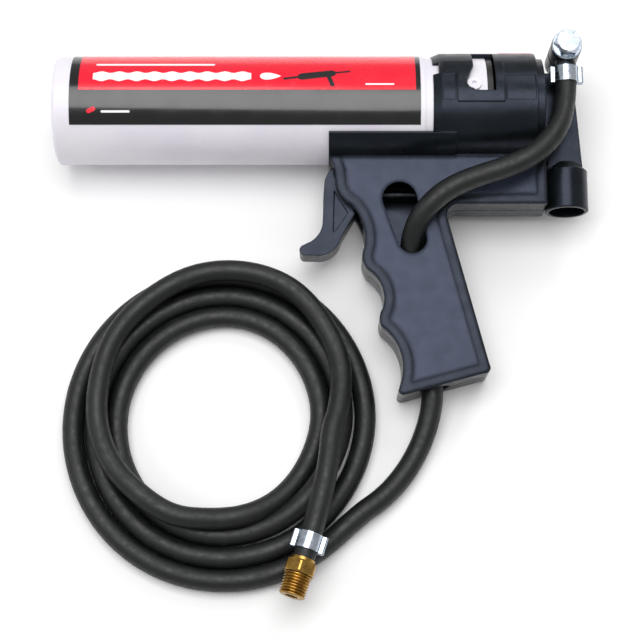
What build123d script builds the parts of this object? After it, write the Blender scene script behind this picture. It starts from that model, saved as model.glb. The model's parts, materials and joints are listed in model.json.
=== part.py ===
"""Air-powered caulking gun, lying on its side, with a rubber air hose coiled beside it.

The gun is drawn in its own frame, in millimetres: X runs along the barrel towards the rear,
Y is up when the gun is held, and Z points out of its left side. The barrel's axis is the X axis.
place() then rolls the gun about the barrel until its head and its butt both touch the floor.
"""

from build123d import *
import os
from math import asin, atan2, cos, degrees, hypot, pi, radians, sin, tan

# Barrel: a plastic tube that holds a 10 oz cartridge
barrel_end = 230.0
barrel_length = 225.6
barrel_start = barrel_end - barrel_length
barrel_radius = 57.15 / 2
barrel_wall = 2.825
barrel_bore_radius = barrel_radius - barrel_wall
barrel_edge_round = 2.0
spigot_length = 32.2
spigot_start = barrel_end - spigot_length
spigot_step = 0.855
spigot_radius = barrel_radius - spigot_step
nose_ring_length = 5.0
nose_ring_setback = 1.5
nozzle_hole_radius = 15.0
label_setback = 9.3
label_start = barrel_start + label_setback
label_margin = 2.4
label_end = spigot_start - label_margin
label_thickness = 0.2
label_low_angle = -33.7
label_high_angle = 150.0

# Bayonet between the barrel and the head
pin_radius = 3.6
pin_x = barrel_end - 6.9
pin_sink = 0.8
pin_dimple_radius = 1.3
pin_angle = 10.0
twist_angle = 20.0
push_travel = 4.0
pin_clearance = 0.4

# Head
head_start = 202.0
head_end = 260.0
head_bore_gap = 0.08
head_wall = 2.4
head_bore_radius = spigot_radius + head_bore_gap
head_radius = head_bore_radius + head_wall
pin_top_radius = head_radius - pin_sink
head_bevel = 1.8
head_bevel_length = 4.4
head_step_start = 256.0
head_step = 2.8
head_step_radius = head_radius - head_step
shoulder_x = 238.5
shoulder_step = 9.2
shoulder_radius = head_radius - shoulder_step
chamber_end = 254.0
window_start = 222.8
window_end = 234.0
window_low_angle = 1.0
window_high_angle = 62.0
pad_start = 214.3
pad_end = 238.6
pad_height = 0.8
pad_low_angle = -10.0
pad_high_angle = 38.5
rail_start = 207.0
rail_end = 230.6
rail_half_angle = 8.6
inlays = [(206.6, 213.4, 20.0), (239.6, 254.8, 19.0)]
inlay_low_angle = -8.0
inset_depth = 0.4
sticker_start = 237.5
sticker_end = 255.0
sticker_thickness = 0.15

# Cradle under the barrel
cradle_start = 147.9
cradle_gap = 0.375
cradle_wall = 2.25
cradle_bore_radius = barrel_radius + cradle_gap
cradle_radius = cradle_bore_radius + cradle_wall
cradle_half_angle = 50.0
cradle_overlap = 6.0
cradle_band_end = 214.0

# Seals behind the barrel
seal_gap = 0.1
barrel_seal_length = 3.0
barrel_seal_width = 5.72
cartridge_seal_length = 6.0
cartridge_seal_radius = 19.5
cartridge_seal_bore = 9.0
air_port_radius = 5.0

# Handle shells
half_width = 12.5
shell_wall = 2.4
panel_rim = 5.2
panel_depth = 0.8
shell_end = 261.3
lip_y = -54.7
butt_y = 155.2
shell_top = -24.0
seat_gap = 0.05
cheek_gap = 0.4
post_radius = 3.6
post_places = [(170.5, -37.4), (212.0, -37.0), (214.0, -112.0), (220.0, -134.0)]
screw_radius = 1.5
screw_head_radius = 3.0
screw_head_length = 2.0
screw_tip_z = 8.0
screw_clearance = 0.1
hose_hole_ends = [(184.7, -51.8, 9.0), (191.0, -73.6, 7.6)]
hose_exit_place = (202.4, -150.0)
hose_exit_radius = 7.4
hose_exit_length = 24.0
hose_exit_tilt = -12.0

# Trigger and its pin
pivot_x = 154.8
pivot_y = -36.3
trigger_half_width = 7.0
trigger_top_radius = 4.6
trigger_pocket_depth = 1.6
trigger_pin_radius = 2.0
trigger_pin_clearance = 0.06
trigger_pin_setback = 1.4
trigger_edge_round = 0.8
trigger_pocket_points = [(150.2, -44), (149.6, -70), (152.2, -68), (158.6, -58)]
trigger_pocket_inset = 0.6
trigger_slots = [(130.0, 166.4, -66.5, -31.4), (166.0, 168.5, -66.5, -42.0)]

# Valve, worked by a rod behind the trigger
rod_drop = 10.5
rod_radius = 2.5
rod_gap = 0.2
rod_flat_radius = 0.8
rod_hole_gap = 1.0
running_clearance = 0.05
valve_start = 222.0
valve_end = 256.0
valve_half_height = 5.4
valve_half_width = 8.0
valve_front_wall = 3.0
valve_bore_radius = 4.0
stem_start = 225.6
stem_length = 11.0
groove_width = 2.0
groove_depth = 1.5
groove_places = [2.4, 8.6]
o_ring_clearance = 0.03
valve_spring_length = 14.6
valve_spring_gap = 0.6
valve_spring_wire = 0.5
valve_spring_end_gap = 0.05
valve_spring_pitch = 2.6
plug_hex_radius = 5.0
plug_hex_length = 2.4

# Rear web, boss and inlet lug
web_half_width = 6.0
web_points = [
    (255, 19),
    (277, 19),
    (278, 9.6),
    (281, -32.7),
    (281, -44),
    (263, -44),
    (263, -29),
    (255, -29),
]
boss_x = 272.9
boss_radius = 11.35
boss_top = -30.0
boss_bottom = -56.0
exhaust_radius = 9.3
exhaust_depth = 14.0
muffler_radius = 7.0
muffler_length = 9.0
muffler_gap = 0.5
boss_rim_round = 0.8
boss_top_bevel = 4.5
lug_x = 272.6
lug_y = 28.6
lug_radius = 8.0
lug_back = -6.0
lug_face = 8.4
air_drill_radius = 2.5
lug_foot = 10.0
lug_foot_front = 6.0
lug_foot_rear = 5.5
lug_floor = 3.0

# Inlet fitting and hose
hose_radius = 11.1 / 2
hose_wall = 2.4
washer_length = 0.8
washer_radius = 7.4
banjo_length = 11.6
banjo_bolt_radius = 4.0
bolt_head_across = 12.7
bolt_head_length = 6.0
bolt_flange_radius = 7.9
bolt_flange_length = 1.2
bolt_end_gap = 0.5
neck_radius = 5.25
neck_end = 20.0
clamp_wall = 0.9
clamp_gap = 0.15
clamp_width = 8.4
clamp_ear_reach = 8.8
clamp_ear_width = 4.6
upper_clamp_start = 1.6

# Brass hose end
fitting_hex_across = 14.29
fitting_hex_length = 6.4
fitting_collar_radius = 6.0
fitting_collar_length = 1.6
thread_radius = 13.7 / 2
thread_taper = 1 / 32
thread_pitch = 25.4 / 18
thread_crests = 8
thread_depth = 0.75

# Hose, in the placed frame: its lead from the inlet through the handle to the coil, the coil
# on the floor, and its tail over the coil to the brass end
lead_points = [
    (128.275, 77.33, 48.29),
    (128.275, 65.44, 46.86),
    (126.2, 52.1, 48.8),
    (122.7, 40.1, 52.4),
    (115.7, 29.3, 54.1),
    (106.2, 21.8, 53.7),
    (94.7, 16.9, 52.6),
    (82.7, 13.6, 51.2),
    (71.2, 9.7, 50.0),
    (61.2, 4.4, 48.1),
    (53.4, -2.2, 44.2),
    (48.0, -8.8, 36.1),
    (45.9, -16.8, 27.4),
    (45.6, -27.2, 21.4),
    (47.2, -41.0, 19.4),
    (50.3, -54.9, 17.2),
    (53.5, -68.8, 15.6),
    (56.5, -81.7, 14.2),
    (56.9, -95.0, 12.0),
    (54.4, -107.5, 9.0),
    (50.0, -119.0, 6.6),
    (44.2, -129.5, 5.7),
    (37.0, -139.0, 5.6),
    (28.8, -146.9, 5.7),
    (20.2, -152.6, 5.6),
]
tail_points = [
    (1.0, -76.0, 8.6),
    (3.4, -87.5, 12.8),
    (4.8, -99.5, 18.3),
    (4.9, -113.0, 21.9),
    (3.8, -127.5, 22.4),
    (1.4, -141.5, 22.6),
    (-1.9, -155.5, 23.6),
    (-5.5, -168.5, 24.6),
    (-9.1, -179.9, 24.7),
]
coil_height = 16.6
coil_centre = (-50.4, -105.8)
coil_half_width = 83.8
coil_half_length = 88.1
coil_band = 36.5
end_clamp_start = 4.4

big = 100.0


def sector(x0, x1, inner, outer, low, high):
    """Part of a ring along X; the angles turn from +Z towards +Y."""
    profile = Pos((x0 + x1) / 2, (inner + outer) / 2) * Rectangle(x1 - x0, outer - inner)
    return Rotation(90 - high, 0, 0) * revolve(profile, Axis.X, revolution_arc=high - low)


def rod_x(radius, x0, x1):
    """A round bar on the X axis."""
    return extrude(Plane.YZ.offset(x0) * Circle(radius), amount=x1 - x0)


def ring_x(outer, inner, x0, x1):
    """A round tube on the X axis."""
    return rod_x(outer, x0, x1) - rod_x(inner, x0, x1)


def rod_z(radius, x, y, z0, z1):
    """A round bar along Z."""
    return Pos(x, y, (z0 + z1) / 2) * Cylinder(radius, z1 - z0)


def rod_y(radius, x, z, y0, y1):
    """A round bar along Y."""
    return Pos(x, (y0 + y1) / 2, z) * Rotation(90, 0, 0) * Cylinder(radius, y1 - y0)


def block(x0, x1, y0, y1, z0, z1):
    """A box between two corners."""
    centre = Pos((x0 + x1) / 2, (y0 + y1) / 2, (z0 + z1) / 2)
    return centre * Box(x1 - x0, y1 - y0, z1 - z0)


def both_sides(shape):
    """The shape and its copy half a turn round the barrel's axis."""
    return [shape, Rotation(180, 0, 0) * shape]


# ---------------------------------------------------------------- barrel


def barrel_tube():
    """The barrel with its narrower rear spigot and two round bayonet pins."""
    tube = fillet(
        rod_x(barrel_radius, barrel_start, spigot_start).edges().group_by(Axis.X)[0],
        barrel_edge_round,
    )
    tube += rod_x(spigot_radius, spigot_start - 1, barrel_end)
    tube -= rod_x(barrel_bore_radius, barrel_start - 1, barrel_end + 1)
    pin = rod_z(pin_radius, pin_x, 0, barrel_bore_radius + 0.5, pin_top_radius)
    pin -= rod_z(pin_dimple_radius, pin_x, 0, pin_top_radius - 1.2, pin_top_radius + 1)
    for one in both_sides(Rotation(-pin_angle, 0, 0) * pin):
        tube += one
    return tube


def nose_ring():
    """The ring inside the muzzle that the cartridge's front bears on."""
    start = barrel_start + nose_ring_setback
    ring = ring_x(barrel_bore_radius, nozzle_hole_radius, start, start + nose_ring_length)
    return ring


def barrel_label():
    """The printed film wrapped round the barrel's near side and top."""
    return sector(
        label_start,
        label_end,
        barrel_radius,
        barrel_radius + label_thickness,
        label_low_angle,
        label_high_angle,
    )


def barrel_seal():
    """The rubber ring that the barrel's rear rim presses on."""
    start = barrel_end + seal_gap
    return ring_x(spigot_radius, spigot_radius - barrel_seal_width, start, start + barrel_seal_length)


def cartridge_seal():
    """The rubber ring that seals the cartridge's open rear end."""
    start = shoulder_x - cartridge_seal_length / 2
    outer = rod_x(cartridge_seal_radius, start, start + cartridge_seal_length)
    outer = chamfer(outer.edges().group_by(Axis.X)[0], 1.5)
    return outer - rod_x(cartridge_seal_bore, start - 1, start + cartridge_seal_length + 1)


# ---------------------------------------------------------------- receiver


def bayonet_cut():
    """The window, the slanting notch for the pin, and the groove that the pin enters by."""
    inner = barrel_bore_radius + 0.25
    outer = head_radius + 10
    window = sector(window_start, window_end, inner, outer, window_low_angle, window_high_angle)
    arc = radians(twist_angle) * pin_top_radius
    slot = SlotCenterToCenter(hypot(push_travel, arc), 2 * (pin_radius + pin_clearance))
    slot = Rotation(0, 0, degrees(atan2(arc, push_travel))) * slot
    channel = Pos(pin_x + push_travel / 2, 0, inner) * extrude(slot, amount=outer - inner)
    channel = Rotation(-pin_angle - twist_angle / 2, 0, 0) * channel
    entry = pin_angle + twist_angle
    half = degrees((pin_radius + pin_clearance) / spigot_radius)
    top = pin_top_radius + pin_clearance / 2
    groove = sector(head_start - 1, window_start + 1, inner, top, entry - half, entry + half)
    return window + channel + groove


def head_shell():
    """The round head with its window, raised pad and bevelled front edge."""
    shell = rod_x(head_radius, head_start, head_step_start)
    front = shell.edges().group_by(Axis.X)[0]
    shell = chamfer(front, head_bevel_length, head_bevel)
    shell += rod_x(head_step_radius, head_step_start - 1, head_end)
    pad_top = head_radius + pad_height
    low = head_radius - 0.3
    entry = pin_angle + twist_angle
    pad = sector(pad_start, pad_end, low, pad_top, pad_low_angle, pad_high_angle)
    rail_low = entry - rail_half_angle
    rail = sector(rail_start, rail_end, low, pad_top, rail_low, entry + rail_half_angle)
    for one in both_sides(pad + rail):
        shell += one
    floor = head_radius - inset_depth
    for start, end, high in inlays:
        shell -= sector(start, end, floor, head_radius + 1, inlay_low_angle, high)
    shell -= rod_x(head_bore_radius, head_start - 1, shoulder_x)
    shell -= rod_x(shoulder_radius, shoulder_x - 1, chamber_end)
    for one in both_sides(bayonet_cut()):
        shell -= one
    return shell


def cradle():
    """The trough that carries the barrel in front of the head."""
    low = -90 - cradle_half_angle
    high = -90 + cradle_half_angle
    middle = head_start + cradle_overlap
    trough = sector(cradle_start, middle, cradle_bore_radius, cradle_radius, low, high)
    return trough + sector(middle, cradle_band_end, head_radius - 1, cradle_radius, low, high)


def receiver():
    """The head, the cradle, the rear web with its boss, and the lug for the air inlet."""
    web = make_face(Polyline(*web_points, close=True))
    web = Pos(0, 0, -web_half_width) * extrude(web, amount=2 * web_half_width)
    web -= rod_x(head_step_radius - 2, barrel_end, chamber_end)
    web -= rod_x(head_bore_radius, barrel_end, head_step_start)
    boss = rod_y(boss_radius, boss_x, 0, boss_bottom, boss_top)
    boss = fillet(boss.edges().group_by(Axis.Y)[0], boss_rim_round)
    boss = chamfer(boss.edges().group_by(Axis.Y)[-1], boss_top_bevel)
    lug = rod_z(lug_radius, lug_x, lug_y, lug_back, lug_face)
    foot = block(
        lug_x - lug_foot_front,
        lug_x + lug_foot_rear,
        lug_foot,
        lug_y - 2,
        -web_half_width,
        web_half_width,
    )
    body = head_shell() + cradle() + web + boss + lug + foot
    body -= rod_y(exhaust_radius, boss_x, 0, boss_bottom - 1, boss_bottom + exhaust_depth)
    seat = boss_bottom + exhaust_depth + muffler_length
    body -= rod_y(muffler_radius, boss_x, 0, boss_bottom + exhaust_depth - 1, seat)
    body -= rod_y(air_drill_radius, boss_x, 0, seat - 1, lug_y)
    body -= rod_z(banjo_bolt_radius, lug_x, lug_y, lug_back + lug_floor, lug_face + 1)
    body -= rod_x(air_port_radius, chamber_end - 1, head_end - 2)
    return body


def head_sticker():
    """The small red sticker on top of the head."""
    top = head_radius + sticker_thickness
    return sector(sticker_start, sticker_end, head_radius, top, 66, 112)


def exhaust_muffler():
    """The sintered plug that quietens the exhaust, deep in the boss."""
    start = boss_bottom + exhaust_depth
    return rod_y(muffler_radius - 0.02, boss_x, 0, start, start + muffler_length - muffler_gap)


# ---------------------------------------------------------------- handle


def handle_face():
    """The side outline of the handle, with finger grooves down its front."""
    front_top = (148.6, shell_top)
    outline = Line(front_top, (148.6, -30.1))
    outline += ThreePointArc((148.6, -30.1), (150.7, -35.8), (151.4, -42.3))
    outline += ThreePointArc((151.4, -42.3), (154.0, -50.0), (159.6, -55.2))
    outline += ThreePointArc((159.6, -55.2), (165.2, -64.2), (166.3, -77.8))
    outline += ThreePointArc((166.3, -77.8), (165.2, -83.6), (168.1, -90.2))
    outline += ThreePointArc((168.1, -90.2), (175.0, -98.5), (175.4, -110.5))
    outline += ThreePointArc((175.4, -110.5), (173.8, -115.4), (174.8, -120.0))
    outline += ThreePointArc((174.8, -120.0), (183.6, -131.2), (184.6, -147.9))
    outline += Line((184.6, -147.9), (183.2, -152.4))
    outline += ThreePointArc((183.2, -152.4), (183.8, -154.6), (186.0, -155.2))
    outline += Line((186.0, -155.2), (226.6, -144.2))
    outline += ThreePointArc((226.6, -144.2), (229.6, -142.6), (229.4, -139.8))
    outline += Line((229.4, -139.8), (209.4, -63.2))
    outline += ThreePointArc((209.4, -63.2), (210.2, -57.4), (215.0, lip_y))
    outline += Line((215.0, lip_y), (shell_end, lip_y))
    outline += Line((shell_end, lip_y), (shell_end, shell_top))
    outline += Line((shell_end, shell_top), front_top)
    return make_face(outline)


def hose_hole():
    """The teardrop hole in the left shell that the hose goes in by."""
    ends = [Pos(x, y) * Circle(radius) for x, y, radius in hose_hole_ends]
    hole = make_hull((ends[0] + ends[1]).edges())
    return Pos(0, 0, half_width - 3 * shell_wall) * extrude(hole, amount=5 * shell_wall)


def handle_shell(side):
    """One half of the hollow handle: side is 1 for the left shell and -1 for the right."""
    face = handle_face()
    shell = extrude(face, amount=half_width)
    panel = Pos(0, 0, half_width - panel_depth) * extrude(offset(face, -panel_rim), amount=5)
    shell -= panel
    shell -= extrude(offset(face, -shell_wall), amount=half_width - shell_wall)
    inner = half_width - shell_wall
    for x, y in post_places:
        shell += rod_z(post_radius, x, y, 0, inner + 0.5)
    shell += rod_z(trigger_top_radius, pivot_x, pivot_y, 0, inner + 0.5)
    slot_half = trigger_half_width + cheek_gap
    for x0, x1, y0, y1 in trigger_slots:
        shell -= block(x0, x1, y0, y1, -1, slot_half)
    shell -= rod_z(trigger_pin_radius, pivot_x, pivot_y, -1, half_width - trigger_pin_setback)
    shell -= rod_x(cradle_radius + seat_gap, 0, cradle_band_end)
    shell -= rod_x(head_radius + seat_gap, 0, big + shell_end)
    rod_hole = rod_x(rod_radius + rod_hole_gap, pivot_x, valve_start + 1)
    shell -= Pos(0, pivot_y - rod_drop) * rod_hole
    exit_hole = Rotation(90, 0, hose_exit_tilt) * Cylinder(hose_exit_radius, hose_exit_length)
    shell -= Pos(*hose_exit_place) * exit_hole
    shell = shell.solids().sort_by(SortBy.VOLUME)[-1]
    if side > 0:
        shell -= hose_hole()
        for x, y in post_places:
            shell -= rod_z(screw_radius, x, y, -1, screw_tip_z)
        return shell
    for x, y in post_places:
        shell -= rod_z(screw_radius + screw_clearance, x, y, -1, big)
        head_seat = half_width - screw_head_length - panel_depth
        shell -= rod_z(screw_head_radius + screw_clearance, x, y, head_seat, big)
    return mirror(shell, Plane.XY)


def handle_screws():
    """The four screws that hold the shells together, put in from the right."""
    top = -(half_width - screw_head_length - panel_depth)
    screws = []
    for x, y in post_places:
        head = rod_z(screw_head_radius, x, y, top - screw_head_length + 0.3, top)
        head = fillet(head.edges().group_by(Axis.Z)[0], 0.6)
        head -= Pos(x, y, top - screw_head_length) * Box(0.8, 4 * screw_radius, 2)
        screws.append(head + rod_z(screw_radius - 0.02, x, y, top - 0.2, screw_tip_z))
    return Compound(children=screws)


# ---------------------------------------------------------------- trigger and valve


def trigger():
    """The trigger, turning on its pin, with a pocket in each side."""
    r = trigger_top_radius
    rear = pivot_x + r
    outline = Line((148.0, -35.6), (145.9, -40.0))
    outline += ThreePointArc((145.9, -40.0), (145.2, -48.0), (145.0, -57.0))
    outline += Line((145.0, -57.0), (144.7, -64.0))
    outline += ThreePointArc((144.7, -64.0), (142.6, -69.8), (138.4, -73.8))
    outline += Line((138.4, -73.8), (134.7, -75.6))
    outline += ThreePointArc((134.7, -75.6), (132.7, -78.4), (134.9, -81.0))
    outline += Line((134.9, -81.0), (142.8, -81.3))
    outline += ThreePointArc((142.8, -81.3), (149.6, -78.9), (154.2, -71.6))
    outline += Line((154.2, -71.6), (161.6, -58.6))
    outline += Line((161.6, -58.6), (rear, -53.0))
    outline += Line((rear, -53.0), (rear, pivot_y))
    outline += ThreePointArc((rear, pivot_y), (pivot_x, pivot_y + r), (pivot_x - r, pivot_y + 2))
    outline += Line((pivot_x - r, pivot_y + 2), (148.0, -35.6))
    half = trigger_half_width
    body = Pos(0, 0, -half) * extrude(make_face(outline), amount=2 * half)
    front = body.edges().filter_by(Axis.Z).sort_by(Axis.X)[:4]
    body = fillet(front, trigger_edge_round)
    pocket = make_face(Polyline(*trigger_pocket_points, close=True))
    pocket = extrude(offset(pocket, -trigger_pocket_inset), amount=trigger_pocket_depth + 1)
    body -= Pos(0, 0, half - trigger_pocket_depth) * pocket
    body -= Pos(0, 0, -half - 1) * pocket
    hole = trigger_pin_radius + trigger_pin_clearance
    return body - rod_z(hole, pivot_x, pivot_y, -half - 1, half + 1)


def trigger_pin():
    """The steel pin through both shells."""
    reach = half_width - trigger_pin_setback
    return rod_z(trigger_pin_radius - 0.01, pivot_x, pivot_y, -reach, reach)


rod_y_place = pivot_y - rod_drop
rod_tip_x = pivot_x + trigger_top_radius + rod_gap + rod_radius
stem_end = stem_start + stem_length
plug_start = stem_end + valve_spring_length


def push_rod():
    """The rod from the trigger to the valve stem, with a domed tip."""
    tip = rod_tip_x - rod_radius * cos(asin(rod_flat_radius / rod_radius))
    middle = (rod_tip_x - rod_radius * cos(radians(50)), rod_radius * sin(radians(50)))
    profile = ThreePointArc((tip, rod_flat_radius), middle, (rod_tip_x, rod_radius))
    profile += Polyline((rod_tip_x, rod_radius), (stem_start, rod_radius), (stem_start, 0))
    profile += Polyline((stem_start, 0), (tip, 0), (tip, rod_flat_radius))
    return Pos(0, rod_y_place) * revolve(make_face(profile), Axis.X)


def valve_body():
    """The aluminium valve block between the shells."""
    y = rod_y_place
    body = block(
        valve_start,
        valve_end,
        y - valve_half_height,
        y + valve_half_height,
        -valve_half_width,
        valve_half_width,
    )
    body = chamfer(body.edges().filter_by(Axis.X), 1.0)
    front = valve_start + valve_front_wall
    body -= Pos(0, y) * rod_x(valve_bore_radius, front, valve_end + 1)
    return body - Pos(0, y) * rod_x(rod_radius + running_clearance, valve_start - 1, front + 1)


def valve_stem():
    """The spool that opens the air way, with two ring grooves."""
    outer = valve_bore_radius - running_clearance
    stem = rod_x(outer, stem_start, stem_end)
    for place in groove_places:
        start = stem_start + place - groove_width / 2
        stem -= ring_x(outer + 1, valve_bore_radius - groove_depth, start, start + groove_width)
    return Pos(0, rod_y_place) * stem


def valve_o_rings():
    """The two rubber rings on the spool."""
    section = groove_depth / 2 - o_ring_clearance
    rings = []
    for place in groove_places:
        ring = Rotation(0, 90, 0) * Torus(valve_bore_radius - groove_depth / 2, section)
        rings.append(Pos(stem_start + place, rod_y_place) * ring)
    return Compound(children=rings)


def valve_spring():
    """The coil spring that closes the valve and pushes the trigger out."""
    inset = valve_spring_wire + valve_spring_end_gap
    radius = valve_bore_radius - valve_spring_gap - valve_spring_wire
    path = Helix(valve_spring_pitch, valve_spring_length - 2 * inset, radius)
    start = path @ 0
    section = Plane(origin=start, z_dir=path % 0) * Circle(valve_spring_wire)
    coil = Rotation(0, 90, 0) * sweep(section, path=path)
    return Pos(stem_end + inset, rod_y_place) * coil


def valve_plug():
    """The brass plug that closes the valve's rear end."""
    plug = rod_x(valve_bore_radius - 0.01, plug_start, valve_end)
    hexagon = Plane.YZ.offset(valve_end) * RegularPolygon(plug_hex_radius, 6)
    plug += extrude(hexagon, amount=plug_hex_length)
    return Pos(0, rod_y_place) * plug


# ---------------------------------------------------------------- air inlet


washer_face = lug_face + washer_length
banjo_face = washer_face + banjo_length
banjo_z = washer_face + banjo_length / 2
bolt_face = banjo_face + washer_length


def banjo_fitting():
    """The round banjo with the neck that the hose is pushed up to."""
    body = rod_z(lug_radius, lug_x, lug_y, washer_face, banjo_face)
    body = fillet(body.edges().filter_by(GeomType.CIRCLE), 1.0)
    body += rod_y(neck_radius, lug_x, banjo_z, neck_end, lug_y)
    return body - rod_z(banjo_bolt_radius + 0.1, lug_x, lug_y, 0, big)


def banjo_washers():
    """The two copper washers, one on each side of the banjo."""
    washers = []
    for start in (lug_face, banjo_face):
        washer = rod_z(washer_radius, lug_x, lug_y, start, start + washer_length)
        washers.append(washer - rod_z(banjo_bolt_radius + 0.1, lug_x, lug_y, start - 1, start + 2))
    return Compound(children=washers)


def banjo_bolt():
    """The hex bolt that clamps the banjo to the lug."""
    flange = rod_z(bolt_flange_radius, lug_x, lug_y, bolt_face, bolt_face + bolt_flange_length)
    flange = chamfer(flange.edges().group_by(Axis.Z)[-1], 0.5)
    hexagon = RegularPolygon(bolt_head_across / 2, 6, major_radius=False)
    start = bolt_face + bolt_flange_length
    head = extrude(Pos(lug_x, lug_y, start) * hexagon, amount=bolt_head_length)
    cone = Cone(bolt_head_across * 0.78, bolt_head_across * 0.45, bolt_head_length)
    head = head & (Pos(lug_x, lug_y, start + bolt_head_length / 2) * cone)
    shank = rod_z(banjo_bolt_radius - 0.02, lug_x, lug_y, lug_back + lug_floor + bolt_end_gap, bolt_face + 1)
    return flange + head + shank


def clamp_band():
    """A two-ear hose clamp on the Z axis, from z = 0 up."""
    inner = hose_radius + clamp_gap
    outer = inner + clamp_wall
    band = Cylinder(outer, clamp_width, align=(Align.CENTER, Align.CENTER, Align.MIN))
    for side in (1, -1):
        ear = Rectangle(clamp_ear_reach - outer + 1.5, clamp_ear_width)
        ear = Pos(side * (clamp_ear_reach + outer - 1.5) / 2, 0) * ear
        ear = extrude(ear, amount=clamp_width)
        tips = ear.edges().filter_by(Axis.Z).sort_by(Axis.X)
        ear = fillet(tips[-2:] if side > 0 else tips[:2], 1.0)
        band += ear
    bore = Cylinder(inner, clamp_width, align=(Align.CENTER, Align.CENTER, Align.MIN))
    return band - bore


def inlet_clamp():
    """The clamp on the hose's upper end."""
    top = neck_end - upper_clamp_start
    return Pos(lug_x, top, banjo_z) * Rotation(90, 0, 0) * clamp_band()


# ---------------------------------------------------------------- hose, in the placed frame


def route_radii(points):
    """The largest arc that each corner of a route has room for."""
    radii = []
    for before, corner, after in zip(points, points[1:], points[2:]):
        arrive = Vector(*corner) - Vector(*before)
        leave = Vector(*after) - Vector(*corner)
        turn = radians(arrive.get_angle(leave))
        radii.append(0.45 * min(arrive.length, leave.length) / tan(turn / 2))
    return radii


def hose_tube(points):
    """A stretch of hose: straight runs joined by tangent arcs."""
    radii = route_radii(points)
    path = FilletPolyline(*points, radius=radii)
    print("tightest bend", round(min(radii), 1), "length", round(path.length, 1))
    tube = sweep(Plane(origin=path @ 0, z_dir=path % 0) * Circle(hose_radius), path=path)
    print("volume share", round(tube.volume / (pi * hose_radius**2 * path.length), 4))
    return tube


def hose_coil():
    """The outer shape of the hose's loose turns: an oval ring on the floor."""
    outer = Ellipse(coil_half_width, coil_half_length)
    inner = Ellipse(coil_half_width - coil_band, coil_half_length - coil_band)
    return extrude(Pos(*coil_centre) * (outer - inner), amount=coil_height)


def hose_end(distance, outward):
    """The plane across the hose near its end, facing outward or back along the hose."""
    end = Vector(*tail_points[-1])
    along = (end - Vector(*tail_points[-2])).normalized()
    side = along.cross(Vector(0, 0, 1))
    return Plane(origin=end - along * distance, x_dir=side, z_dir=along * outward)


def end_clamp():
    """The clamp on the hose's free end."""
    return hose_end(end_clamp_start, -1) * clamp_band()


def thread_profile(start):
    """Half the section of the tapered pipe thread, crest after crest."""
    points = [(0, start), (thread_radius - thread_depth, start)]
    for crest in range(thread_crests):
        base = start + crest * thread_pitch
        radius = thread_radius - thread_taper * crest * thread_pitch
        points.append((radius, base + 0.4 * thread_pitch))
        points.append((radius, base + 0.6 * thread_pitch))
        points.append((radius - thread_depth, base + thread_pitch))
    points.append((0, start + thread_crests * thread_pitch))
    return Plane.XZ * make_face(Polyline(*points, close=True))


def hose_fitting():
    """The brass hose end: collar, hexagon and tapered pipe thread."""
    hex_end = fitting_collar_length + fitting_hex_length
    body = Cylinder(fitting_collar_radius, fitting_collar_length + 1)
    body = Pos(0, 0, (fitting_collar_length + 1) / 2) * body
    hexagon = RegularPolygon(fitting_hex_across / 2, 6, major_radius=False, rotation=30)
    head = extrude(Pos(0, 0, fitting_collar_length) * hexagon, amount=fitting_hex_length)
    top = fitting_hex_across * 0.56
    bevel = Cylinder(top, fitting_hex_length)
    bevel = chamfer(bevel.edges().filter_by(GeomType.CIRCLE), 0.8)
    head = head & (Pos(0, 0, fitting_collar_length + fitting_hex_length / 2) * bevel)
    body += head + revolve(thread_profile(hex_end), Axis.Z)
    bore = Cylinder(hose_radius - hose_wall, big)
    return hose_end(0, 1) * (body - bore)


# ---------------------------------------------------------------- placing the gun on the floor


def roll_angle():
    """How far the gun rolls about the barrel for the butt's far edge to reach the floor."""
    reach = hypot(butt_y, half_width)
    return degrees(asin((head_radius + pad_height) / reach) - atan2(half_width, butt_y))


gun = {
    "receiver": receiver(),
    "head_sticker": head_sticker(),
    "exhaust_muffler": exhaust_muffler(),
    "handle_left_shell": handle_shell(1),
    "handle_right_shell": handle_shell(-1),
    "handle_screws": handle_screws(),
    "barrel_tube": barrel_tube(),
    "nose_ring": nose_ring(),
    "barrel_label": barrel_label(),
    "barrel_seal": barrel_seal(),
    "cartridge_seal": cartridge_seal(),
    "trigger": trigger(),
    "trigger_pin": trigger_pin(),
    "push_rod": push_rod(),
    "valve_body": valve_body(),
    "valve_stem": valve_stem(),
    "valve_o_rings": valve_o_rings(),
    "valve_spring": valve_spring(),
    "valve_plug": valve_plug(),
    "banjo_fitting": banjo_fitting(),
    "banjo_bolt": banjo_bolt(),
    "banjo_washers": banjo_washers(),
    "inlet_clamp": inlet_clamp(),
}

roll = roll_angle()
rolled = {name: Rotation(roll, 0, 0) * shape for name, shape in gun.items()}
solids = [shape for name, shape in rolled.items() if name != "inlet_clamp"]
bounds = Compound(solids).bounding_box()
origin = Pos(-bounds.center().X, -bounds.center().Y, -bounds.min.Z)
print("roll", roll, "origin", origin.position)

placed = {name: origin * shape for name, shape in rolled.items()}
placed["hose_lead"] = hose_tube(lead_points)
placed["hose_coil"] = hose_coil()
placed["hose_tail"] = hose_tube(tail_points)
placed["end_clamp"] = end_clamp()
placed["hose_fitting"] = hose_fitting()

os.makedirs("parts", exist_ok=True)
for name, shape in placed.items():
    export_step(shape, f"parts/{name}.step")
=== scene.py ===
"""Looks for an air-powered caulking gun and its coiled hose.

Laid out as an add-on, and run as a script.
"""

import json
import math

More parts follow.
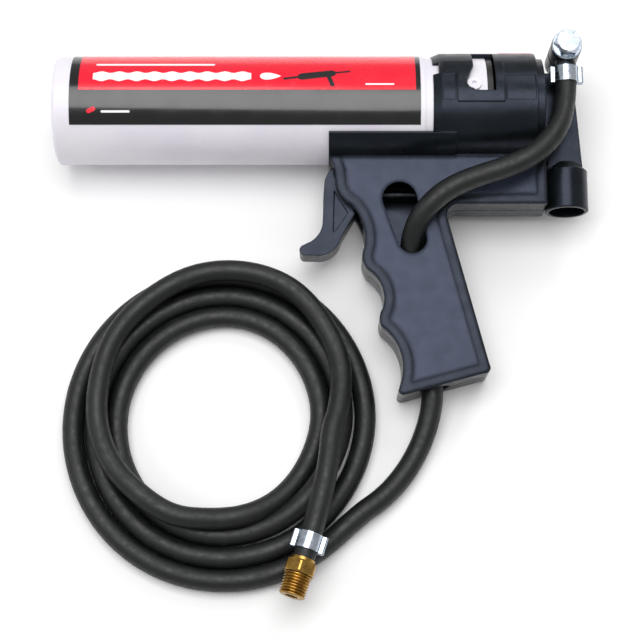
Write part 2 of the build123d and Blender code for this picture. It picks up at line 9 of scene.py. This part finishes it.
import bmesh
import bpy
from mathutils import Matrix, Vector


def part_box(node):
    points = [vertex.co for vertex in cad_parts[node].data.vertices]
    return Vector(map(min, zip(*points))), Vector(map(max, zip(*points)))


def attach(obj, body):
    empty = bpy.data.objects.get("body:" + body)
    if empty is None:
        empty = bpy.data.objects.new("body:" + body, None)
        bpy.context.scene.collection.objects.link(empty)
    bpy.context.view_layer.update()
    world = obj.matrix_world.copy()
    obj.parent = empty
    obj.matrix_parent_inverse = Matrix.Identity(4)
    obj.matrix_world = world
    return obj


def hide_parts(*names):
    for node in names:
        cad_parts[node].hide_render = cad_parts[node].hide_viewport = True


bl_info = {
    "name": "Caulking gun looks",
    "version": (1, 0, 0),
    "blender": (4, 5, 0),
    "location": "View3D > Sidebar > Caulking gun",
    "description": "Finishes, label print, air hose and studio for a caulking gun",
    "category": "Object",
}

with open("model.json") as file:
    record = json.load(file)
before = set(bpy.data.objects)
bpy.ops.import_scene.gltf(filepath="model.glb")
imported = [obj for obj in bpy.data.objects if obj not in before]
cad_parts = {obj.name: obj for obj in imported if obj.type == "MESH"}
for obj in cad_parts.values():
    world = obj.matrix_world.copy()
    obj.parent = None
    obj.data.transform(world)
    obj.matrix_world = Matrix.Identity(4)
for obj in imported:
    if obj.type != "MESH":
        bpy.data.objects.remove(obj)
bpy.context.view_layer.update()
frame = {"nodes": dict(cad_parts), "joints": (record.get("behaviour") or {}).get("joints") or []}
MM = 0.001
LABEL_LOW, LABEL_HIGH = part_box("barrel_label")
SEAL_LOW, SEAL_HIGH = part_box("barrel_seal")

# The gun's roll about its barrel, as it lies on the floor, from the trigger's hinge.
ROLL = math.atan2(
    -Vector(frame["joints"][0]["axis"]).y,
    Vector(frame["joints"][0]["axis"]).z,
)

# A point on the barrel's axis, and the label's outer radius.
BARREL_MIDDLE = (SEAL_LOW + SEAL_HIGH) / 2
LABEL_RADIUS = 57.15 / 2 * MM + 0.2 * MM

# The grip's recessed side faces, which take a painted sheen in place of the overhead light's
# reflection, in millimetres from its middle plane: where the recess begins and ends, each faded,
# and how squarely a face has to look sideways.
RECESS_BEGINS = (11.4, 11.5)
RECESS_ENDS = (12.0, 12.1)
RECESS_FACING = (0.97, 0.99)

# How far moulded edges are softened, in millimetres: the shells, and every other moulding.
SHELL_EDGE = 3.0
MOULDED_EDGE = 0.9

# The colour mixer's sockets, which share their names and so go by number.
MIX_FACTOR, MIX_FIRST, MIX_SECOND = 0, 6, 7
MIX_RESULT = 2

# The label's print, in millimetres: along the barrel from the label's start, then round it.
PRINT_LIFT = 0.04
OVERPRINT_LIFT = 0.08
PRINT_THICKNESS = 0.05
PRINT_CELL = 1.6
BAR_END_STEPS = 3
PANEL_START = 4.7
PANEL_END_GAP = 2.5
PANEL_LOW, PANEL_HIGH = 1.4, 55.0
BEAD_START, BEAD_LENGTH = 12, 82
BEAD_MIDDLE, BEAD_HALF = 9.6, 2.0
BEAD_SWELL, BEAD_SWELLS = 1.3, 9
BEAD_STEPS = 48
DROP_PLACE, DROP_SIZE = 104, 5.5
DROP_FLATNESS, DROP_POINTS = 0.55, 20

# The print's plain bars: their middle, length and width, their turn in degrees, ink and lift.
BARS = (
    ("label_bar_upper", (44, 18.4, 62, 1.6), 0, "white", OVERPRINT_LIFT),
    ("label_tube", (128, 10.4, 20, 4.2), 8, "black", OVERPRINT_LIFT),
    ("label_nozzle", (114.5, 8.4, 8, 1.3), 8, "black", OVERPRINT_LIFT),
    ("label_plunger", (141, 12.3, 9, 1.1), 8, "black", OVERPRINT_LIFT),
    ("label_grip", (135, 7.0, 8, 2.2), -70, "black", OVERPRINT_LIFT),
    ("label_rule", (160.5, 4.6, 15, 0.9), 0, "white", OVERPRINT_LIFT),
    ("label_small_red", (11.4, -9.2, 5.0, 2.4), 25, "red", PRINT_LIFT),
    ("label_small_bar", (24.0, -10.0, 15, 1.2), 0, "white", PRINT_LIFT),
)

# The studio, in metres. The floor lies a little under the gun, so that their faces don't meet.
FLOOR_HALF = 3.0
FLOOR_DROP = 0.0004
WORLD_STRENGTH = 0.42
CAMERA_TARGET = (-0.001, -0.0586, 0.031)
CAMERA_SENSOR_MM = 36

# The square lamps: name, place, width in metres and power in watts.
LAMPS = (
    ("key", (-0.1, 0.05, 1.35), 1.0, 13.0),
    ("fill", (0.5, 0.9, 0.9), 0.5, 3.5),
    ("rim", (-0.9, -0.2, 0.8), 0.4, 1.5),
)

HOSE_DIAMETER = 11.1 * MM
# Where the coil's first turn begins, in degrees round its middle.
COIL_START = -33.5
POINTS_PER_TURN = 18

# The hose's route, in millimetres: the lead as the part has it, and the tail, which runs
# a little higher than the part's, over the coil's turns.
LEAD = [
    (128.275, 77.33, 48.29),
    (128.275, 65.44, 46.86),
    (126.2, 52.1, 48.8),
    (122.7, 40.1, 52.4),
    (115.7, 29.3, 54.1),
    (106.2, 21.8, 53.7),
    (94.7, 16.9, 52.6),
    (82.7, 13.6, 51.2),
    (71.2, 9.7, 50.0),
    (61.2, 4.4, 48.1),
    (53.4, -2.2, 44.2),
    (48.0, -8.8, 36.1),
    (45.9, -16.8, 27.4),
    (45.6, -27.2, 21.4),
    (47.2, -41.0, 19.4),
    (50.3, -54.9, 17.2),
    (53.5, -68.8, 15.6),
    (56.5, -81.7, 14.2),
    (56.9, -95.0, 12.0),
    (54.4, -107.5, 9.0),
    (50.0, -119.0, 6.6),
    (44.2, -129.5, 5.7),
    (37.0, -139.0, 5.6),
    (28.8, -146.9, 5.7),
    (20.2, -152.6, 5.6),
]
TAIL = [
    (4.9, -113.0, 22.6),
    (3.8, -127.5, 24.0),
    (1.4, -141.5, 24.6),
    (-1.9, -155.5, 24.6),
    (-5.5, -168.5, 24.6),
    (-9.1, -179.9, 24.7),
]

# The coil's course: turns made, how far inside the outer turn, and height, in millimetres.
COURSE = [
    (0.06, -2.0, 5.65),
    (0.157, 0.0, 5.65),
    (0.407, 0.0, 5.65),
    (0.657, 1.5, 5.65),
    (0.907, 4.5, 5.65),
    (1.0, 8.5, 5.65),
    (1.157, 11.4, 5.65),
    (1.407, 11.4, 5.65),
    (1.657, 12.9, 5.65),
    (1.86, 15.8, 5.65),
    (2.0, 19.9, 12.9),
    (2.12, 22.8, 5.65),
    (2.407, 22.8, 5.65),
    (2.657, 24.0, 5.65),
    (2.86, 27.0, 5.65),
    (3.0, 31.0, 5.65),
    (3.157, 30.6, 14.0),
    (3.25, 24.5, 17.2),
    (3.407, 14.0, 17.2),
    (3.53, 6.8, 17.0),
    (3.657, 1.5, 17.0),
    (3.73, 2.5, 17.0),
    (3.83, 11.5, 17.4),
    (3.9, 19.5, 20.5),
]


def srgb(code):
    """A sRGB hex colour as linear red, green, blue and alpha."""
    parts = [int(code[i : i + 2], 16) / 255 for i in (1, 3, 5)]
    return [p / 12.92 if p <= 0.04045 else ((p + 0.055) / 1.055) ** 2.4 for p in parts] + [1.0]


# ---------------------------------------------------------------- settings


class FinishSettings(bpy.types.PropertyGroup):
    """Colours of the gun's plastics and prints, and the painted sheen on the grip's recesses."""

    body: bpy.props.StringProperty(
        name="Body", description="Colour of the black nylon mouldings", default="#0A0D0D"
    )
    # a painted sheen: the slate stands in for the overhead light's reflection on the recessed faces
    panel: bpy.props.StringProperty(
        name="Panel", description="Colour of the grip's recessed panels", default="#2B303C"
    )
    barrel: bpy.props.StringProperty(
        name="Barrel", description="Colour of the natural plastic barrel", default="#E9E6EC"
    )
    film: bpy.props.StringProperty(
        name="Label film", description="Ground colour of the label", default="#08080A"
    )
    red: bpy.props.StringProperty(
        name="Label red", description="Colour of the label's printed panel", default="#E8052C"
    )
    white: bpy.props.StringProperty(
        name="Label white", description="Colour of the label's white print", default="#F4F2F4"
    )


class HoseSettings(bpy.types.PropertyGroup):
    """Sizes of the hose's coil on the floor."""

    centre: bpy.props.FloatVectorProperty(
        name="Coil centre",
        description="Middle of the coil on the floor",
        size=2,
        default=(-0.0504, -0.1058),
        unit="LENGTH",
    )
    outer: bpy.props.FloatVectorProperty(
        name="Outer turn",
        description="Half width and half length of the outer turn's centreline",
        size=2,
        default=(0.0786, 0.0827),
        unit="LENGTH",
    )
    rubber: bpy.props.StringProperty(
        name="Rubber", description="Colour of the hose's cover", default="#070A0A"
    )


class StageSettings(bpy.types.PropertyGroup):
    """Floor, lights and camera."""

    floor: bpy.props.StringProperty(
        name="Floor", description="Colour of the pale floor", default="#FAFAFA"
    )
    distance: bpy.props.FloatProperty(
        name="Camera distance",
        description="From the camera to the point it looks at",
        default=0.84,
        unit="LENGTH",
    )
    elevation: bpy.props.FloatProperty(
        name="Camera elevation",
        description="Angle of the view above the floor",
        default=math.radians(70.7),
        subtype="ANGLE",
    )
    lens: bpy.props.FloatProperty(
        name="Lens", description="Focal length on a 36 mm sensor", default=92.8, min=20, max=300
    )


# ---------------------------------------------------------------- materials


def add_node(tree, kind, settings=None, links=None):
    """One node with its settings, and its inputs linked or set by name or number."""
    node = tree.nodes.new(kind)
    for name, value in (settings or {}).items():
        setattr(node, name, value)
    for name, value in (links or {}).items():
        if isinstance(value, bpy.types.NodeSocket):
            tree.links.new(value, node.inputs[name])
        else:
            node.inputs[name].default_value = value
    return node


def new_material(name, colour, **inputs):
    """A material with its shader's own sockets set."""
    material = bpy.data.materials.new(name)
    material.use_nodes = True
    shader = material.node_tree.nodes["Principled BSDF"]
    shader.inputs["Base Color"].default_value = srgb(colour)
    for key, value in inputs.items():
        shader.inputs[key.replace("_", " ")].default_value = value
    return material, material.node_tree, shader


def noise(tree, size_mm, detail=3.0, stretch=(1, 1, 1)):
    """Noise in object space whose lumps are about size_mm across."""
    place = add_node(tree, "ShaderNodeTexCoord").outputs["Object"]
    place = add_node(
        tree, "ShaderNodeMapping", {}, {"Vector": place, "Scale": stretch}
    ).outputs["Vector"]
    links = {"Vector": place, "Scale": 1 / (size_mm * MM), "Detail": detail}
    return add_node(tree, "ShaderNodeTexNoise", {}, links).outputs["Fac"]


def spread(tree, value, low, high, to_low, to_high):
    """The value moved from one range to another, and held inside it."""
    links = {"Value": value, "From Min": low, "From Max": high, "To Min": to_low, "To Max": to_high}
    return add_node(tree, "ShaderNodeMapRange", {"clamp": True}, links).outputs["Result"]


def blend_colours(tree, factor, first, second):
    """A mix of two colours, each a hex colour or a socket."""
    links = {MIX_FACTOR: factor}
    for place, colour in ((MIX_FIRST, first), (MIX_SECOND, second)):
        links[place] = srgb(colour) if isinstance(colour, str) else colour
    return add_node(tree, "ShaderNodeMix", {"data_type": "RGBA"}, links).outputs[MIX_RESULT]


def recess_sheen_mask(tree):
    """Where the painted sheen goes: one on the floor of the grip's recesses, nought elsewhere."""
    side = (0, -math.sin(ROLL), math.cos(ROLL))
    place = add_node(tree, "ShaderNodeTexCoord").outputs["Object"]
    normal = add_node(tree, "ShaderNodeNewGeometry").outputs["Normal"]
    reaches = []
    for vector, shift in ((place, -Vector(side).dot(BARREL_MIDDLE)), (normal, 0.0)):
        settings, links = {"operation": "DOT_PRODUCT"}, {0: vector, 1: side}
        along = add_node(tree, "ShaderNodeVectorMath", settings, links).outputs["Value"]
        links = {0: along, 1: shift}
        moved = add_node(tree, "ShaderNodeMath", {"operation": "ADD"}, links).outputs[0]
        size = add_node(tree, "ShaderNodeMath", {"operation": "ABSOLUTE"}, {0: moved})
        reaches.append(size.outputs[0])
    height, facing = reaches
    # painted sheen: the slate reflection is laid on recess floors that face squarely sideways
    sheen_mask = spread(tree, height, *(edge * MM for edge in RECESS_BEGINS), 0.0, 1.0)
    below = spread(tree, height, *(edge * MM for edge in RECESS_ENDS), 1.0, 0.0)
    level = spread(tree, facing, *RECESS_FACING, 0.0, 1.0)
    for share in (below, level):
        links = {0: sheen_mask, 1: share}
        sheen_mask = add_node(tree, "ShaderNodeMath", {"operation": "MULTIPLY"}, links).outputs[0]
    return sheen_mask


def bump(tree, shader, height, depth_mm, strength=1.0, edge_mm=0.0):
    """Relief of depth_mm on the shader's surface, with its edges softened by edge_mm."""
    links = {"Height": height, "Distance": depth_mm * MM, "Strength": strength}
    if edge_mm:
        soft = add_node(tree, "ShaderNodeBevel", {"samples": 6}, {"Radius": edge_mm * MM})
        links["Normal"] = soft.outputs["Normal"]
    node = add_node(tree, "ShaderNodeBump", {}, links)
    tree.links.new(node.outputs["Normal"], shader.inputs["Normal"])


def nylon(colour, panel=None):
    """Injection-moulded black nylon: near black, with a cold, dull sheen.

    A panel colour is a painted sheen: slate laid on the floor of the grip's recesses, below the
    rim, in place of the overhead light's reflection on those flat faces.
    """
    material, tree, shader = new_material(
        "moulded_black_nylon", colour, IOR=1.53, Specular_IOR_Level=0.32
    )
    shader.inputs["Specular Tint"].default_value = srgb("#D2DEFF")
    worn = spread(tree, noise(tree, 22.0), 0.35, 0.7, 0.0, 1.0)
    tone = blend_colours(tree, worn, colour, "#131718")
    rough = spread(tree, noise(tree, 7.0), 0.3, 0.7, 0.24, 0.36)
    if panel:
        # painted sheen: the recess floors take the slate panel colour for the light's reflection
        tone = blend_colours(tree, recess_sheen_mask(tree), tone, panel)
    tree.links.new(tone, shader.inputs["Base Color"])
    tree.links.new(rough, shader.inputs["Roughness"])
    # the mould's spark-eroded skin is about 0.1 mm; 0.6 mm is the finest that shows
    edge = SHELL_EDGE if panel else MOULDED_EDGE
    bump(tree, shader, noise(tree, 0.6, 2.0), 0.012, 0.5, edge)
    return material


def polyethylene(colour):
    """Extruded natural polyethylene: milky, a little light goes in, faint long draw lines."""
    material, tree, shader = new_material(
        "extruded_natural_polyethylene", colour, IOR=1.51, Subsurface_Weight=0.15
    )
    shader.inputs["Subsurface Radius"].default_value = (0.004, 0.003, 0.003)
    shader.inputs["Subsurface Scale"].default_value = 1.0
    cloudy = spread(tree, noise(tree, 30.0), 0.3, 0.7, 0.0, 1.0)
    tree.links.new(blend_colours(tree, cloudy, colour, "#DFDAE6"), shader.inputs["Base Color"])
    rough = spread(tree, noise(tree, 4.0), 0.3, 0.7, 0.34, 0.46)
    tree.links.new(rough, shader.inputs["Roughness"])
    bump(tree, shader, noise(tree, 1.2, 2.0, (0.04, 1, 1)), 0.02, 0.4)
    return material


def film(name, colour, gloss=0.16):
    """Screen-printed vinyl film: glossy, with the slight ripple of a film laid by hand."""
    material, tree, shader = new_material(name, colour, IOR=1.5, Coat_Weight=0.4)
    shader.inputs["Coat Roughness"].default_value = 0.08
    rough = spread(tree, noise(tree, 12.0), 0.3, 0.7, gloss, gloss + 0.1)
    tree.links.new(rough, shader.inputs["Roughness"])
    bump(tree, shader, noise(tree, 9.0, 1.0), 0.02, 0.35)
    return material


def hose_rubber(colour):
    """Extruded nitrile rubber with a cloth-wrapped cure: dull, dusty, and scuffed pale."""
    material, tree, shader = new_material("wrapped_nitrile_rubber", colour, IOR=1.52)
    dust = spread(tree, noise(tree, 9.0, 6.0), 0.52, 0.78, 0.0, 0.5)
    tree.links.new(blend_colours(tree, dust, colour, "#1E2628"), shader.inputs["Base Color"])
    rough = spread(tree, noise(tree, 3.0), 0.3, 0.7, 0.42, 0.62)
    tree.links.new(rough, shader.inputs["Roughness"])
    # the wrapping cloth's threads are 0.5 mm apart; 0.9 mm is the finest that shows
    bump(tree, shader, noise(tree, 0.9, 3.0), 0.05, 0.5)
    return material


def metal(name, first, second, rough_low, rough_high, size_mm=5.0, depth_mm=0.01):
    """Bare or plated metal: bright, with a patchy tone and fine tool marks."""
    material, tree, shader = new_material(name, first, Metallic=1.0)
    patch = spread(tree, noise(tree, size_mm, 4.0), 0.35, 0.68, 0.0, 1.0)
    tree.links.new(blend_colours(tree, patch, first, second), shader.inputs["Base Color"])
    rough = spread(tree, noise(tree, size_mm / 3), 0.3, 0.7, rough_low, rough_high)
    tree.links.new(rough, shader.inputs["Roughness"])
    bump(tree, shader, noise(tree, 0.5, 2.0), depth_mm, 0.5)
    return material


def seal_rubber():
    """Moulded nitrile seal: smooth, near black and slightly greasy."""
    material, tree, shader = new_material("moulded_nitrile_seal", "#101112", IOR=1.52)
    rough = spread(tree, noise(tree, 3.0), 0.3, 0.7, 0.3, 0.45)
    tree.links.new(rough, shader.inputs["Roughness"])
    bump(tree, shader, noise(tree, 0.8), 0.02, 0.4)
    return material


def paint(nodes, material):
    """Gives CAD nodes a material."""
    for name in nodes:
        piece = frame["nodes"][name]
        for place in piece.material_slots:
            place.link = "OBJECT"
            place.material = material
        if not piece.material_slots:
            piece.data.materials.append(material)


# ---------------------------------------------------------------- shapes


def new_object(name, mesh):
    """A new object in the scene."""
    piece = bpy.data.objects.new(name, mesh)
    bpy.context.scene.collection.objects.link(piece)
    return piece


def wrapped(name, outline, material, lift=PRINT_LIFT):
    """A printed shape on the barrel: an outline in (along the barrel, round it) millimetres.

    The second number runs round the label from the side that faces out, towards its top.
    """
    build = bmesh.new()
    build.faces.new([build.verts.new((x, y, 0)) for x, y in outline])
    # strips along the barrel, narrow enough to follow its curve
    low, high = min(y for _, y in outline), max(y for _, y in outline)
    strips = int((high - low) / PRINT_CELL)
    for i in range(1, strips):
        place = Vector((0, low + (high - low) * i / strips, 0))
        geometry = build.verts[:] + build.edges[:] + build.faces[:]
        bmesh.ops.bisect_plane(build, geom=geometry, plane_co=place, plane_no=(0, 1, 0))
    made = bmesh.ops.extrude_face_region(build, geom=build.faces[:])
    raised = [v for v in made["geom"] if isinstance(v, bmesh.types.BMVert)]
    bmesh.ops.translate(build, verts=raised, vec=(0, 0, PRINT_THICKNESS))
    bmesh.ops.recalc_face_normals(build, faces=build.faces[:])
    for vert in build.verts:
        angle = vert.co.y * MM / LABEL_RADIUS - ROLL
        reach = LABEL_RADIUS + (lift + vert.co.z - PRINT_THICKNESS) * MM
        vert.co = Vector(
            (
                LABEL_LOW.x + vert.co.x * MM,
                BARREL_MIDDLE.y + reach * math.sin(angle),
                BARREL_MIDDLE.z + reach * math.cos(angle),
            )
        )
    mesh = bpy.data.meshes.new(name)
    build.to_mesh(mesh)
    build.free()
    mesh.materials.append(material)
    piece = new_object(name, mesh)
    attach(piece, "barrel")
    return piece


def bar(x, y, length, width, turn):
    """The outline of a bar with rounded ends, centred on (x, y)."""
    points = []
    for end in (1, -1):
        for step in range(-BAR_END_STEPS, BAR_END_STEPS + 1):
            swing = step / BAR_END_STEPS * math.pi / 2
            px = end * (length / 2 - width / 2) + end * math.cos(swing) * width / 2
            py = end * math.sin(swing) * width / 2
            points.append((px, py))
    c, s = math.cos(turn), math.sin(turn)
    return [(x + px * c - py * s, y + px * s + py * c) for px, py in points]


def bead():
    """The outline of a bead of sealant that swells and thins: one side, then back up the other."""
    points = []
    for side in (-1, 1):
        for i in range(BEAD_STEPS + 1):
            t = i / BEAD_STEPS if side < 0 else 1 - i / BEAD_STEPS
            swell = BEAD_SWELL * math.sin(t * BEAD_SWELLS * math.pi) ** 2
            y = BEAD_MIDDLE + side * BEAD_HALF + side * swell
            points.append((BEAD_START + BEAD_LENGTH * t, y))
    return points


def drop():
    """The outline of a drop of sealant, pointing along the barrel."""
    points = []
    for i in range(DROP_POINTS):
        t = 2 * math.pi * i / DROP_POINTS
        x = DROP_PLACE + DROP_SIZE * math.cos(t)
        wide = DROP_SIZE * DROP_FLATNESS * math.sin(t) * math.sin(t / 2)
        points.append((x, BEAD_MIDDLE + wide))
    return points


def coil_turns(size):
    """The coil's points: loose turns inwards on the floor, then one back over their top."""
    points = []
    first, last = COURSE[0][0], COURSE[-1][0]
    count = int((last - first) * POINTS_PER_TURN)
    for i in range(count + 1):
        turn = first + (last - first) * i / count
        later = next(k for k in range(1, len(COURSE)) if turn <= COURSE[k][0] + 1e-9)
        (from_turn, *low), (to_turn, *high) = COURSE[later - 1], COURSE[later]
        share = (turn - from_turn) / (to_turn - from_turn)
        share = share * share * (3 - 2 * share)
        inward, height = [(a + (b - a) * share) * MM for a, b in zip(low, high)]
        angle = math.radians(COIL_START - 360 * turn)
        across = (size.outer[0] - inward) * math.cos(angle)
        along = (size.outer[1] - inward) * math.sin(angle)
        points.append(Vector((size.centre[0] + across, size.centre[1] + along, height)))
    return points


def line_length(curve):
    """The length of a curve's own line, in metres."""
    bare = curve.copy()
    bare.bevel_depth = 0
    probe = bpy.data.objects.new("hose_line", bare)
    line = bpy.data.meshes.new_from_object(probe)
    run = [vert.co.copy() for vert in line.vertices]
    bpy.data.objects.remove(probe)
    bpy.data.curves.remove(bare)
    bpy.data.meshes.remove(line)
    return sum((b - a).length for a, b in zip(run, run[1:]))


# ---------------------------------------------------------------- operators


class GUN_OT_finishes(bpy.types.Operator):
    """Gives every CAD piece its finish"""

    bl_idname = "gun.finishes"
    bl_label = "Finishes"

    def execute(self, context):
        look = context.scene.gun_finish
        paint(["receiver", "trigger", "banjo_fitting"], nylon(look.body))
        # the shells' recess floors carry the painted slate sheen
        paint(["handle_left_shell", "handle_right_shell"], nylon(look.body, look.panel))
        paint(["barrel_tube", "nose_ring"], polyethylene(look.barrel))
        paint(["barrel_label"], film("black_printed_vinyl", look.film))
        paint(["head_sticker"], film("red_printed_vinyl_sticker", look.red))
        paint(["barrel_seal", "cartridge_seal", "valve_o_rings"], seal_rubber())
        # bright zinc over steel keeps a cold, bluish tone
        zinc = metal("bright_zinc_plated_steel", "#D4DCE6", "#AEBBCB", 0.14, 0.3)
        paint(["banjo_bolt", "inlet_clamp", "end_clamp"], zinc)
        steel = metal("ground_steel", "#B9BBBD", "#8E9194", 0.22, 0.4)
        paint(["trigger_pin", "valve_spring", "handle_screws"], steel)
        blackened = metal("blackened_steel", "#2A2C30", "#1B1C1F", 0.3, 0.45)
        paint(["push_rod"], blackened)
        # brass that has been handled is dull yellow with brown in its corners
        brass = metal("turned_brass", "#B8924C", "#8C6A34", 0.24, 0.42, 4.0)
        paint(["hose_fitting", "valve_stem", "valve_plug"], brass)
        paint(["banjo_washers"], metal("stamped_copper", "#B8744F", "#8A5236", 0.3, 0.5))
        paint(["valve_body"], metal("machined_aluminium", "#C6C8CB", "#A9ACB0", 0.25, 0.42))
        # sintered bronze is a mass of 0.5 mm balls, so it is rough and dark
        bronze = metal("sintered_bronze", "#7E6238", "#5A4526", 0.55, 0.75, 1.0, 0.15)
        paint(["exhaust_muffler"], bronze)
        return {"FINISHED"}


class GUN_OT_label_print(bpy.types.Operator):
    """Prints the label: a red panel with generic shapes on it, and two small marks below"""

    bl_idname = "gun.label_print"
    bl_label = "Label print"

    def execute(self, context):
        look = context.scene.gun_finish
        inks = {
            "red": film("red_screen_print", look.red, 0.2),
            "white": film("white_screen_print", look.white, 0.3),
            "black": film("black_screen_print", look.film, 0.3),
        }
        panel_end = (LABEL_HIGH.x - LABEL_LOW.x) / MM - PANEL_END_GAP
        panel = [
            (PANEL_START, PANEL_LOW),
            (panel_end, PANEL_LOW),
            (panel_end, PANEL_HIGH),
            (PANEL_START, PANEL_HIGH),
        ]
        wrapped("label_red_panel", panel, inks["red"])
        wrapped("label_bead", bead(), inks["white"], OVERPRINT_LIFT)
        wrapped("label_drop", drop(), inks["white"], OVERPRINT_LIFT)
        for name, sizes, turn, ink, lift in BARS:
            wrapped(name, bar(*sizes, math.radians(turn)), inks[ink], lift)
        return {"FINISHED"}


class GUN_OT_hose(bpy.types.Operator):
    """Lays the air hose: from the inlet through the handle, round the coil, to its brass end"""

    bl_idname = "gun.hose"
    bl_label = "Air hose"

    def execute(self, context):
        size = context.scene.gun_hose
        points = [Vector(p) * MM for p in LEAD] + coil_turns(size)
        points += [Vector(p) * MM for p in TAIL]
        curve = bpy.data.curves.new("air_hose", "CURVE")
        curve.dimensions = "3D"
        spline = curve.splines.new("NURBS")
        spline.points.add(len(points) - 1)
        for place, point in zip(spline.points, points):
            place.co = (*point, 1.0)
        spline.order_u = 3
        spline.use_endpoint_u = True
        spline.resolution_u = 8
        curve.bevel_depth = HOSE_DIAMETER / 2
        curve.bevel_resolution = 6
        curve.use_fill_caps = True
        curve.materials.append(hose_rubber(size.rubber))
        hose = new_object("air_hose", curve)
        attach(hose, "gun")
        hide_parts("hose_lead", "hose_coil", "hose_tail")
        round(line_length(curve), 2)
        return {"FINISHED"}


class GUN_OT_stage(bpy.types.Operator):
    """Sets the pale floor, the soft studio light and the camera"""

    bl_idname = "gun.stage"
    bl_label = "Studio"

    def execute(self, context):
        look = context.scene.gun_stage
        material, _, _ = new_material("matt_white_paper", look.floor, Roughness=0.9)
        mesh = bpy.data.meshes.new("floor")
        signs = ((-1, -1), (1, -1), (1, 1), (-1, 1))
        corners = [(x * FLOOR_HALF, y * FLOOR_HALF, 0) for x, y in signs]
        mesh.from_pydata(corners, [], [(0, 1, 2, 3)])
        mesh.materials.append(material)
        floor = new_object("floor", mesh)
        floor.location.z = -FLOOR_DROP
        world = bpy.data.worlds.new("studio")
        world.use_nodes = True
        background = world.node_tree.nodes["Background"]
        background.inputs["Color"].default_value = srgb("#FFFFFF")
        background.inputs["Strength"].default_value = WORLD_STRENGTH
        context.scene.world = world
        for name, place, wide, power in LAMPS:
            data = bpy.data.lights.new(name, "AREA")
            data.size = wide
            data.energy = power
            lamp = bpy.data.objects.new(name, data)
            lamp.location = place
            lamp.rotation_mode = "QUATERNION"
            lamp.rotation_quaternion = (-Vector(place)).to_track_quat("-Z", "Y")
            context.scene.collection.objects.link(lamp)
        camera = bpy.data.objects.new("camera", bpy.data.cameras.new("camera"))
        camera.data.lens = look.lens
        camera.data.sensor_width = CAMERA_SENSOR_MM
        rise, back = math.sin(look.elevation), math.cos(look.elevation)
        away = Vector((0, -back, rise))
        camera.location = Vector(CAMERA_TARGET) + away * look.distance
        camera.rotation_mode = "QUATERNION"
        camera.rotation_quaternion = (-away).to_track_quat("-Z", "Y")
        context.scene.collection.objects.link(camera)
        context.scene.camera = camera
        context.scene.view_settings.view_transform = "Standard"
        return {"FINISHED"}


class GUN_PT_panel(bpy.types.Panel):
    """Lists the gun's operators"""

    bl_idname = "GUN_PT_panel"
    bl_label = "Caulking gun"
    bl_space_type = "VIEW_3D"
    bl_region_type = "UI"
    bl_category = "Caulking gun"

    def draw(self, context):
        for kind in OPERATORS:
            self.layout.operator(kind.bl_idname)


SETTINGS = {
    "gun_finish": FinishSettings,
    "gun_hose": HoseSettings,
    "gun_stage": StageSettings,
}
OPERATORS = [GUN_OT_stage, GUN_OT_hose, GUN_OT_finishes, GUN_OT_label_print]


def register():
    """Registers the settings, the operators and the panel."""
    for name, kind in SETTINGS.items():
        bpy.utils.register_class(kind)
        setattr(bpy.types.Scene, name, bpy.props.PointerProperty(type=kind))
    for kind in OPERATORS + [GUN_PT_panel]:
        bpy.utils.register_class(kind)


def unregister():
    """Takes them out again."""
    for kind in [GUN_PT_panel] + OPERATORS[::-1]:
        bpy.utils.unregister_class(kind)
    for name, kind in SETTINGS.items():
        delattr(bpy.types.Scene, name)
        bpy.utils.unregister_class(kind)


def main():
    """Builds everything."""
    register()
    bpy.ops.gun.stage()
    bpy.ops.gun.hose()
    bpy.ops.gun.finishes()
    bpy.ops.gun.label_print()


if __name__ == "__main__":
    main()
